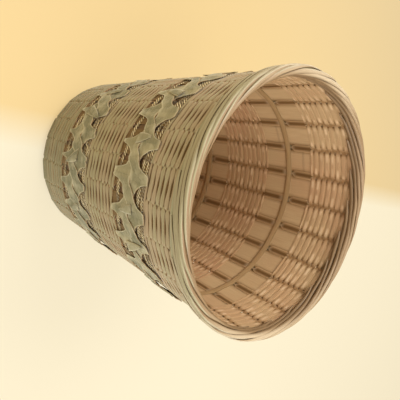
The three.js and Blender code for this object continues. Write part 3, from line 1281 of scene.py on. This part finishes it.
@dataclass
class GapLacing:
    """What crosses the holes of an open band: splints dark as painted shade, fine twined strands and a pale
    hem.
    """

    shape: BasketShape
    name: str
    bottom: float
    top: float
    seed: int
    splint_width: float = 8.6 * MM
    lace_pitch: float = 2.9 * MM
    lace_reach: float = 2.7 * MM
    lace_slant: float = 0.6
    lace_width: float = 1.1 * MM
    hem_width: float = 3.6 * MM
    splint_thickness: float = 0.16 * MM
    lace_thickness: float = 0.12 * MM
    hem_thickness: float = 0.26 * MM
    lace_inset: float = 7.0 * MM
    inner_lace_inset: float = 13.0 * MM
    lace_sway: float = 1.2 * MM
    # How far from the band's middle, and how strongly, the splints are painted paler as painted light.
    painted_light_half: float = 4.5 * MM
    painted_light_share: float = 0.6
    steps: int = 8

    @property
    def middle(self) -> float:
        """Height of the middle of the band."""
        return (self.bottom + self.top) / 2

    def splint_place(self, gap: int, level: Array, share: Array) -> Array:
        """Points of the splint in one gap, narrow at its waist, at heights.

        Args:
            gap: which gap.
            level: height.
            share: share of its width.

        Returns:
            An array of points.
        """
        lean = 0.5 * MM * (pick_one(gap, self.seed) - 0.5)
        waist = smooth((np.abs(level - self.middle - 3 * MM) - 1.5 * MM) / (3.5 * MM))
        ends = smooth((np.minimum(level - self.bottom, self.top - level) + 0.5 * MM) / (0.5 * MM))
        aside = (share - 0.5) * self.splint_width * (0.15 + 0.85 * waist) * (0.3 + 0.7 * ends)
        aside = aside + lean * ends
        off = -self.shape.stake_thickness - self.shape.seat / 2
        return self.shape.on_stakes(Surface.WALL, level, off, gap + aside / self.shape.pace(level))

    def hem_place(self, position: Array, share: Array) -> Array:
        """Points of the pale splint that is bound round below the next woven band.

        Args:
            position: angle in stake steps.
            share: share of its width, from its lower edge.

        Returns:
            An array of points.
        """
        wear_and_painted_light = 0.35 * MM * waver(position, 3.1, self.seed + 40)
        level = self.top - 0.1 * MM - (1 - share) * (self.hem_width + wear_and_painted_light)
        return self.shape.on_stakes(Surface.WALL, level, 0.2 * MM + 0.06 * MM * arch(share), position)

    def lace_place(self, level: float, seed: int, position: Array, share: Array) -> Array:
        """Points of a fine strand that is twined round at a height, in slanted strokes there and back.

        Args:
            level: height that it is twined at.
            seed: picks its waver.
            position: strokes, there and back.
            share: share of its width.

        Returns:
            An array of points.
        """
        turn = ROUND * position
        reach = self.lace_reach * (1 + 0.3 * waver(position, 17.0, seed))
        swing = -reach * np.cos(turn)
        aside = self.lace_pitch * position + self.lace_slant * swing
        aside = aside - (share - 0.5) * self.lace_width * np.sign(np.sin(turn))
        middle = level + self.lace_sway * waver(position, 31.0, seed + 1)
        off = (0.17 + 0.12 * np.sin(turn)) * MM
        return self.shape.on_stakes(Surface.WALL, middle + swing, off, aside / self.shape.pace(level))

    def splint(self, gap: int) -> Piece:
        """The splint behind one gap, dark as painted shade, and paler across its middle as painted light.

        Args:
            gap: which gap.

        Returns:
            The splint.
        """
        outside = np.asarray([-2.4, -0.5, -0.25]) * MM
        inside = np.linspace(self.bottom, self.top, 25)
        heights = np.concatenate([self.bottom + outside, inside, self.top - outside[::-1]])
        tone = np.full(len(heights), pick_one(gap, self.seed + 1))
        # Painted light: the splint is paler across the band's middle.
        past = np.abs(heights - self.middle) - self.painted_light_half
        wear_and_painted_light = self.painted_light_share * (1 - smooth(past / self.painted_light_half))
        place = partial(self.splint_place, gap)
        notes = {"gleam": wear_and_painted_light}
        return lay_strip(f"splint_{gap}", heights, 6, place, self.splint_thickness, tone, notes=notes)

    def lace(self, number: int, level: float) -> Piece:
        """One fine strand round the basket at a height, dark on its way back as painted shade, and dark in
        places of wear.

        Args:
            number: which strand.
            level: height that it is twined at.

        Returns:
            The strand.
        """
        strokes = round(self.shape.pace(level) * self.shape.stakes / self.lace_pitch)
        way = np.linspace(0.0, strokes, strokes * self.steps + 1)
        # Painted shade: the strokes that go back behind are darker.
        back = smooth(0.5 - 1.5 * np.sin(ROUND * way))
        wear_and_painted_light = smooth(3 * waver(way, 11.0, self.seed + 20 + number) - 0.1)
        place = partial(self.lace_place, level, self.seed + number)
        return lay_strip(f"lace_{number}", way, 1, place, self.lace_thickness, np.maximum(back, wear_and_painted_light))

    def build(self) -> None:
        """Lays the splints, the strands that are twined across them, and the hem."""
        splints = [self.splint(gap) for gap in range(self.shape.stakes)]
        inset = self.lace_inset
        levels = (self.bottom + inset, self.top - inset, self.top - self.inner_lace_inset)
        laces = [self.lace(number, level) for number, level in enumerate(levels)]
        ring = np.linspace(0.0, self.shape.stakes, self.shape.stakes * self.steps + 1)
        tone = lengths_of_tone(ring, 9.0, self.seed)
        hem = lay_strip(f"{self.name}_hem", ring, 3, self.hem_place, self.hem_thickness, tone)
        dress(hem, Finishes.TAN, "tan_weaver")
        dress(join_pieces(f"{self.name}_gap_splints", splints), Finishes.SPLINT, "olive_hoop")
        dress(join_pieces(f"{self.name}_lacing", laces), Finishes.LACE, "rim_cane")


@dataclass
class Rim:
    """The rim: a banded outer hoop, an inner hoop, and long strands that climb over a dark core."""

    shape: BasketShape
    strands: int = 22
    run: float = 0.36
    way_start: float = -12.0 * MM
    way_length: float = 34.0 * MM
    steps: int = 120
    band_turns: int = 3
    band_width: float = 7.2 * MM
    band_thickness: float = 0.7 * MM
    inner_thickness: float = 1.3 * MM
    core_thickness: float = 0.4 * MM
    core_sunk: float = 0.45 * MM
    strand_thickness: float = 0.6 * MM
    strand_share: float = 0.9

    def strand_place(self, number: int, position: Array, share: Array) -> Array:
        """Points of one of the long strands that climb over the rim, side by side, at shares of its run.

        Args:
            number: which strand.
            position: share of its run.
            share: share of its width.

        Returns:
            An array of points.
        """
        width = self.way_length / (self.run * self.strands) * self.strand_share
        ends = smooth(position / 0.08) * smooth((1 - position) / 0.05)
        way = self.way_start + self.way_length * position
        way = way + 0.9 * MM * waver(position, 0.6, 70 + number) * ends
        broad = width * (0.35 + 0.65 * ends) * (1 + 0.2 * waver(position, 0.5, 170 + number))
        bow = (0.3 + 0.65 * smooth((way + 4 * MM) / (5 * MM))) * MM
        lift = (0.1 + 0.2 * waver(position, 0.7, 270 + number)) * MM
        angle = self.strand_angle(position, number)
        return self.shape.on_crown(way + (share - 0.5) * broad, lift + bow * arch(share), angle)

    def strand_angle(self, position: Array, number: int) -> Array:
        """Angle of a strand at shares of its run."""
        return ROUND * (position * self.run + number / self.strands)

    def hoop_place(self, position: Array, share: Array) -> Array:
        """Points of the outer hoop's long split, each turn lapping the last like shingles.

        Args:
            position: turns round the axis.
            share: share of its width, from its lower edge.

        Returns:
            An array of points.
        """
        shape = self.shape
        bottom = shape.stake_top - shape.hoop_width
        pitch = (shape.hoop_width - 4.0 * MM) / (self.band_turns - 0.5)
        middle = bottom + 1.2 * MM + pitch * (position - 0.3)
        level = middle + (share - 0.5) * self.band_width + 0.5 * MM * waver(position, 1.3, 81)
        level = np.clip(level, bottom, shape.stake_top + 0.4 * MM)
        off = -0.95 * MM + 0.75 * MM * share + 0.15 * MM * arch(share)
        radius = shape.wall_radius(level) + (shape.core_outer - shape.rim_radius) + off
        return about_axis(radius, ROUND * position, level)

    def inner_place(self, position: Array, share: Array) -> Array:
        """Points of the inner hoop, behind the stake tops.

        Args:
            position: turns round the axis.
            share: share of its width, from its lower edge.

        Returns:
            An array of points.
        """
        shape = self.shape
        level = shape.stake_top - 6.4 * MM + 6.0 * MM * share
        radius = shape.wall_radius(level) - shape.stake_thickness - shape.seat - 0.75 * MM
        return about_axis(radius, ROUND * position, level)

    def core_place(self, position: Array, share: Array) -> Array:
        """Points of the dark core that shows between the strands over the rim."""
        return self.shape.on_crown((-0.5 + 17.5 * share) * MM, -self.core_sunk, ROUND * position)

    @staticmethod
    def greener(angle: Array) -> Array:
        """How much green is left in the rim, from 0 to 1: least of it towards +Y and -Y."""
        return smooth((np.abs(np.cos(angle)) - 0.05) / 0.75)

    def build(self) -> None:
        """Lays both hoops, the dark core and the strands over it."""
        around = np.linspace(0.0, self.band_turns, self.steps * self.band_turns)
        tone = 0.45 * lengths_of_tone(around, 0.8, 90) + 0.55 * self.greener(ROUND * around)
        thickness = self.band_thickness
        band = lay_strip("rim_outer_band", around, 5, self.hoop_place, thickness, tone, 0.12 * MM, 40.0)
        dress(band, Finishes.RIM_GREEN, "rim_green", "rim_outer_hoop")
        ring = np.linspace(0.0, 1.004, self.steps)
        plain = 0.5 + 0.5 * waver(ring, 0.5, 91)
        thickness = self.inner_thickness
        inner = lay_strip("rim_inner_band", ring, 4, self.inner_place, thickness, plain, 0.2 * MM, 40.0)
        dress(inner, Finishes.RIM_GREEN, "rim_green", "rim_inner_hoop")
        core = lay_strip("rim_dark_core", ring, 12, self.core_place, self.core_thickness, plain)
        dress(core, Finishes.CORE, "rim_cane", "rim_winding")
        way = np.linspace(0.0, 1.0, int(self.run * self.steps * 1.8))
        for number in range(self.strands):
            tone = 0.4 * pick_one(number, 92) + 0.6 * self.greener(self.strand_angle(way, number))
            place = partial(self.strand_place, number)
            name = f"rim_strand_{number + 1}"
            strand = lay_strip(name, way, 6, place, self.strand_thickness, tone, sharp=70.0)
            dress(strand, Finishes.RIM_CANE, "rim_cane", "rim_winding")


@dataclass
class Foot:
    """The foot hoop, the lining of the heel and the two discs at the centre of the base."""

    shape: BasketShape
    disc_radius: float = 31.0 * MM
    disc_thickness: float = 1.2 * MM
    lining_thickness: float = 0.4 * MM
    lining_flat: float = 5.4 * MM
    lining_climb: float = 3.2 * MM
    steps: int = 120

    def hoop_place(self, position: Array, share: Array) -> Array:
        """Points of the foot hoop, bent from one thick split.

        Args:
            position: turns round the axis.
            share: share of its width, from its lower edge.

        Returns:
            An array of points.
        """
        shape = self.shape
        level = 0.05 * MM + share * (shape.foot_height - 0.1 * MM)
        return about_axis(shape.foot_outer - shape.foot_width / 2, ROUND * position, level)

    def disc(self, name: str, bottom: float, node: str) -> None:
        """A thin disc with a rounded edge and two turned grooves.

        Args:
            name: name of the piece.
            bottom: height of its underside.
            node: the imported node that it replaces.
        """
        bpy.ops.object.select_all(action="DESELECT")
        bpy.ops.mesh.primitive_cylinder_add(
            vertices=96, radius=self.disc_radius, depth=self.disc_thickness, location=(0, 0, 0)
        )
        disc = bpy.context.object
        disc.name = name
        mesh = disc.data
        bpy.ops.object.mode_set(mode="EDIT")
        bpy.ops.mesh.select_all(action="DESELECT")
        bpy.ops.mesh.select_mode(type="FACE")
        bpy.ops.object.mode_set(mode="OBJECT")
        for face in mesh.polygons:
            face.select = abs(face.normal.z) > 0.9
        bpy.ops.object.mode_set(mode="EDIT")
        for width, depth in ((5.0, 0.0), (1.0, 0.0), (0.4, -0.15), (0.8, 0.15)):
            bpy.ops.mesh.inset(thickness=width * MM, depth=depth * MM)
        bpy.ops.object.mode_set(mode="OBJECT")
        round_edges(disc, 0.35 * MM, 3, 60)
        mesh.transform(Matrix.Translation((0, 0, bottom + self.disc_thickness / 2)))
        points = np.zeros(len(mesh.vertices) * 3)
        mesh.vertices.foreach_get("co", points)
        points = points.reshape(-1, 3)
        lay_map(mesh, points[:, :2])
        note_value(mesh, "tone", np.full(len(points), 0.4))
        note_value(mesh, "edge", np.zeros(len(points)))
        bpy.ops.object.shade_smooth_by_angle(angle=math.radians(35))
        dress(disc, Finishes.STAKE, "stake_bamboo", node)

    def lining_place(self, position: Array, share: Array) -> Array:
        """Points of the lining that follows the heel inside the stakes.

        Args:
            position: turns round the axis.
            share: share of its width, from the base up.

        Returns:
            An array of points.
        """
        shape = self.shape
        flat, climb = self.lining_flat, self.lining_climb
        turn = math.pi / 2 - shape.lean
        way = share * (flat + shape.heel_radius * turn + climb)
        bend = np.clip((way - flat) / shape.heel_radius, 0, turn)
        past = np.maximum(way - flat - shape.heel_radius * turn, 0)
        reach = shape.heel_radius - shape.stake_thickness - 0.95 * MM
        heel_start = shape.spoke_end - np.maximum(flat - way, 0)
        radius = heel_start + reach * np.sin(bend) + past * math.sin(shape.lean)
        level = shape.base_level + shape.heel_radius - reach * np.cos(bend) + past * math.cos(shape.lean)
        return about_axis(radius, ROUND * position, level)

    def build(self) -> None:
        """Lays the hoop and the lining, and makes both discs."""
        shape = self.shape
        ring = np.linspace(0.0, 0.9995, self.steps)
        tone = 0.5 + 0.5 * waver(ring, 0.4, 61)
        thickness = shape.foot_width - 0.1 * MM
        hoop = lay_strip("foot_ring", ring, 3, self.hoop_place, thickness, tone, 0.8 * MM, 40.0)
        dress(hoop, Finishes.OLIVE, "olive_hoop", "foot_hoop")
        lining = lay_strip("heel_lining", ring, 16, self.lining_place, self.lining_thickness, tone)
        dress(lining, Finishes.OLIVE, "olive_hoop")
        under = shape.base_level - shape.seat - self.disc_thickness
        self.disc("base_plate_under", under, "base_disc_under")
        over = shape.base_level + shape.stake_thickness + shape.seat
        self.disc("base_plate_over", over, "base_disc_over")


@dataclass
class Studio:
    """The camera, the floor and the soft lights."""

    target: tuple[float, float, float] = (0.0, 0.0, 0.150)
    tilt: float = 43.07
    azimuth: float = 2.8
    roll: float = 105.594
    distance: float = 0.64109
    focal: float = 582.695
    centre: tuple[float, float] = (181.765, 178.522)
    frame_size: int = 400
    sensor: float = 36.0
    floor_light: Colour = (252, 239, 207)
    floor_warm: Colour = (247, 215, 154)
    floor_dusk: Colour = (232, 206, 156)
    floor_dull: float = 0.25
    floor_glow: float = 0.75
    room_warmth: tuple[float, float, float, float] = (1.0, 0.87, 0.64, 1.0)
    room_light: float = 0.3
    lamp_light: tuple[float, float, float] = (0.96, 0.985, 1.0)

    def camera(self) -> None:
        """Sets the camera at the photograph's view, rolled as the basket lies in it."""
        tilt, azimuth, roll = (math.radians(v) for v in (self.tilt, self.azimuth, self.roll))
        level = Vector((math.cos(azimuth), math.sin(azimuth), 0.0))
        out = math.sin(tilt) * level + math.cos(tilt) * Vector((0.0, 0.0, 1.0))
        ahead = -out
        right = Vector((-math.sin(azimuth), math.cos(azimuth), 0.0))
        up = right.cross(ahead)
        across = math.cos(roll) * right + math.sin(roll) * up
        above = -math.sin(roll) * right + math.cos(roll) * up
        swing, nod = (math.atan((at - self.frame_size / 2) / self.focal) for at in self.centre)
        turn = Matrix.Rotation(-nod, 3, "X") @ Matrix.Rotation(swing, 3, "Y")
        basis = turn @ Matrix((across, -above, ahead))
        rotation = Matrix((basis[0], -basis[1], -basis[2])).transposed()
        lens = bpy.data.cameras.new("photograph_view")
        lens.sensor_width = self.sensor
        lens.lens = self.focal / self.frame_size * self.sensor
        lens.clip_start = 0.01
        view = bpy.data.objects.new("photograph_view", lens)
        place = Vector(self.target) + out * self.distance
        view.matrix_world = Matrix.Translation(place) @ rotation.to_4x4()
        bpy.context.scene.collection.objects.link(view)
        bpy.context.scene.camera = view

    def floor(self) -> None:
        """Lays the pale floor, warmer to one side and darker far off."""
        bpy.ops.object.select_all(action="DESELECT")
        bpy.ops.mesh.primitive_plane_add(size=10.0, location=(0, 0, 0))
        floor = bpy.context.object
        floor.name = "pale_floor"
        material = bpy.data.materials.new("pale floor")
        bench = NodeBench.cleared(material)
        x, y, _ = bench.apart(bench.add("ShaderNodeTexCoord").outputs["Object"])
        far = bench.spread(bench.plus(x, y), -0.35, -1.1)
        warm = bench.blend(far, self.floor_warm, self.floor_dusk)
        share = bench.spread(bench.plus(y, bench.times(x, -0.133)), -0.04, 0.005)
        colour = bench.blend(share, warm, self.floor_light)
        skin = bench.add("ShaderNodeBsdfPrincipled")
        bench.feed(skin, Base_Color=bench.blend(self.floor_dull, colour, (0, 0, 0)), Roughness=0.9)
        glow = bench.feed(bench.add("ShaderNodeEmission"), Color=colour, Strength=1.0)
        bench.show(bench.mixed(bench.times(bench.seen_rays(), self.floor_glow), skin, glow))
        floor.data.materials.append(material)

    def room(self) -> None:
        """Lights the room softly, and shows it as pale as the floor."""
        world = bpy.context.scene.world or bpy.data.worlds.new("room")
        bpy.context.scene.world = world
        bench = NodeBench.cleared(world)
        lit, pale = (
            bench.feed(bench.add("ShaderNodeBackground"), Color=colour, Strength=strength)
            for colour, strength in ((self.room_warmth, self.room_light), (as_light(self.floor_light), 1.0))
        )
        bench.show(bench.mixed(bench.seen_rays(), lit, pale), "World")

    def lamp(self, name: str, place: tuple[float, float, float], size: float, power: float) -> None:
        """A soft square light that looks at the basket.

        Args:
            name: its name.
            place: where it stands.
            size: its side.
            power: its power in watts.
        """
        data = bpy.data.lights.new(name, "AREA")
        data.shape = "SQUARE"
        data.size = size
        data.energy = power
        data.color = self.lamp_light
        lamp = bpy.data.objects.new(name, data)
        aim = Vector(self.target) - Vector(place)
        lamp.matrix_world = Matrix.Translation(place) @ aim.to_track_quat("-Z", "Y").to_matrix().to_4x4()
        bpy.context.scene.collection.objects.link(lamp)

    def build(self) -> None:
        """Sets up the whole studio."""
        self.camera()
        self.floor()
        for name, place, size, power in (
            ("overhead_near", (0.1, 0.65, 1.5), 1.2, 17.0),
            ("overhead_far", (0.05, -0.75, 1.45), 1.1, 27.0),
            ("window_light", (1.4, -0.3, 0.9), 1.0, 3.0),
            ("table_bounce", (0.3, 1.2, 1.0), 1.2, 9.0),
        ):
            self.lamp(name, place, size, power)
        self.room()
        bpy.context.scene.view_settings.view_transform = "Standard"


def build_basket(shape: BasketShape) -> None:
    """Builds every piece of the basket, in the order that a maker would.

    Args:
        shape: the cone of stakes.
    """
    StakeFrame(shape).build()
    Foot(shape).build()
    reach = (shape.foot_outer - shape.foot_width) * math.cos(math.pi / (2 * shape.stakes)) - shape.seat
    base_end = math.sqrt(reach**2 - (8.5 * MM) ** 2)
    WovenBand(
        shape, "base_fine_weave", "base_weave", 31.4 * MM, base_end, 3.0 * MM, 4.0 * MM, 3.0 * MM,
        Finishes.TAN, "tan_weaver", Surface.BASE, seed=50, per_stake=8,
    ).build()
    upper_end = shape.stake_top - 7.6 * MM
    for name, start, end, pitch, over, behind, finish, slot, seed in (
        ("lower", shape.wall_start, 63 * MM, 3.1 * MM, 5.1 * MM, 4.0 * MM, Finishes.SAGE, "sage_weaver", 10),
        ("middle", 121 * MM, 180 * MM, 3.28 * MM, 3.8 * MM, 4.2 * MM, Finishes.WASHED, "tan_weaver", 20),
        ("upper", 237 * MM, upper_end, 3.22 * MM, 3.7 * MM, 4.2 * MM, Finishes.TAN, "tan_weaver", 30),
    ):
        WovenBand(
            shape, f"{name}_fine_weave", f"{name}_weave", start, end, pitch, over, behind, finish, slot,
            seed=seed,
        ).build()
    # The lower band's ribbons are paler by less, so they are darker, as painted shade.
    for name, bottom, top, seed, lower_hole, upper_hole, paleness in (
        ("lower_open", 63 * MM, 121 * MM, 300, (0.8, 20.5 * MM), (0.66, 17.5 * MM), 0.4),
        ("upper_open", 180 * MM, 237 * MM, 400, (0.82, 23.5 * MM), (0.68, 19.0 * MM), 1.0),
    ):
        OpenBand(shape, name, bottom, top, seed, lower_hole, upper_hole, paleness).build()
        GapLacing(shape, name, bottom, top, seed + 50).build()
    Rim(shape).build()


def main() -> None:
    """Loads the frame, builds the basket and the studio, and notes the sizes."""
    logging.basicConfig(level=logging.INFO, format="%(name)s: %(message)s")
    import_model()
    build_basket(BasketShape())
    Studio().build()
    bpy.context.view_layer.update()


if __name__ == "__main__":
    main()
